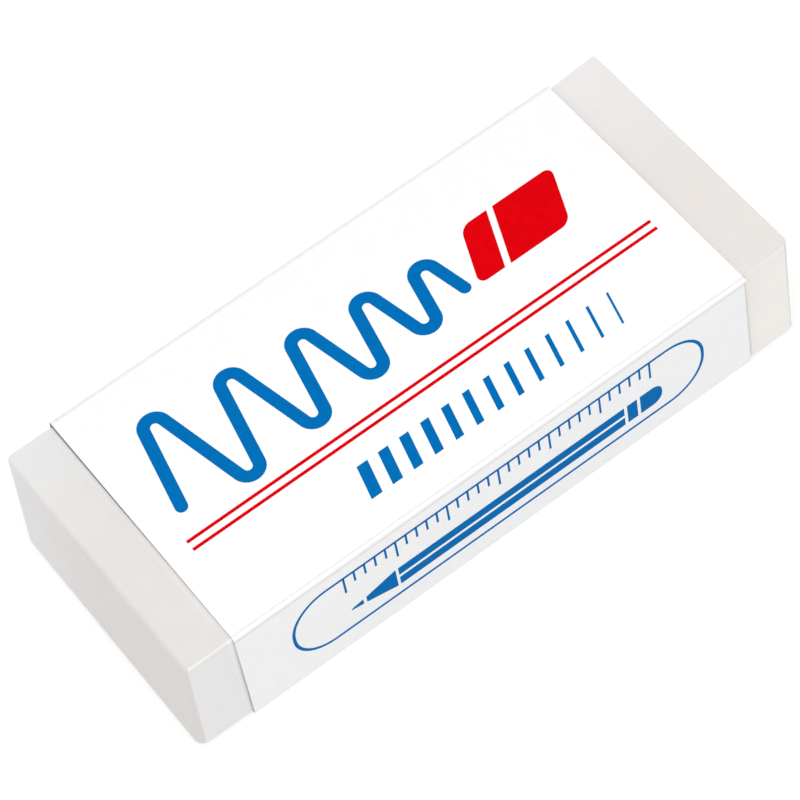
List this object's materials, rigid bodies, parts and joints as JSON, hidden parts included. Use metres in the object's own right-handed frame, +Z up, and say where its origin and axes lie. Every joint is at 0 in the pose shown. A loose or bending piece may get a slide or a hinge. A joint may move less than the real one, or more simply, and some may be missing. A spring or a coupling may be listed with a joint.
{
  "type": "vinyl eraser",
  "caption": "White vinyl eraser block in a folded white card sleeve that slides along it, with both ends of the block showing",
  "frame": {"origin": "on the sleeve's underside, which the part lies on, under the middle of the block's length and of the sleeve's width", "axes": "+X along the length, the way the sleeve slides; +Y across the width towards the sleeve's glued side; +Z up"},
  "size_m": [0.06, 0.0256, 0.0119],
  "materials": {
    "vinyl": "matte, slightly translucent soft vinyl",
    "card": "smooth coated white card with printed blue and red shapes",
    "blue_ink": "satin blue offset ink on the card",
    "red_ink": "satin red offset ink on the card"
  },
  "bodies": {
    "block": {"eraser_block": "vinyl"},
    "sleeve": {"card_sleeve": "card"}
  },
  "joints": [
    {"name": "sleeve_slide", "type": "slide", "parent": "block", "child": "sleeve", "axis": [1, 0, 0], "range_m": [-0.056, 0.056]}
  ]
}
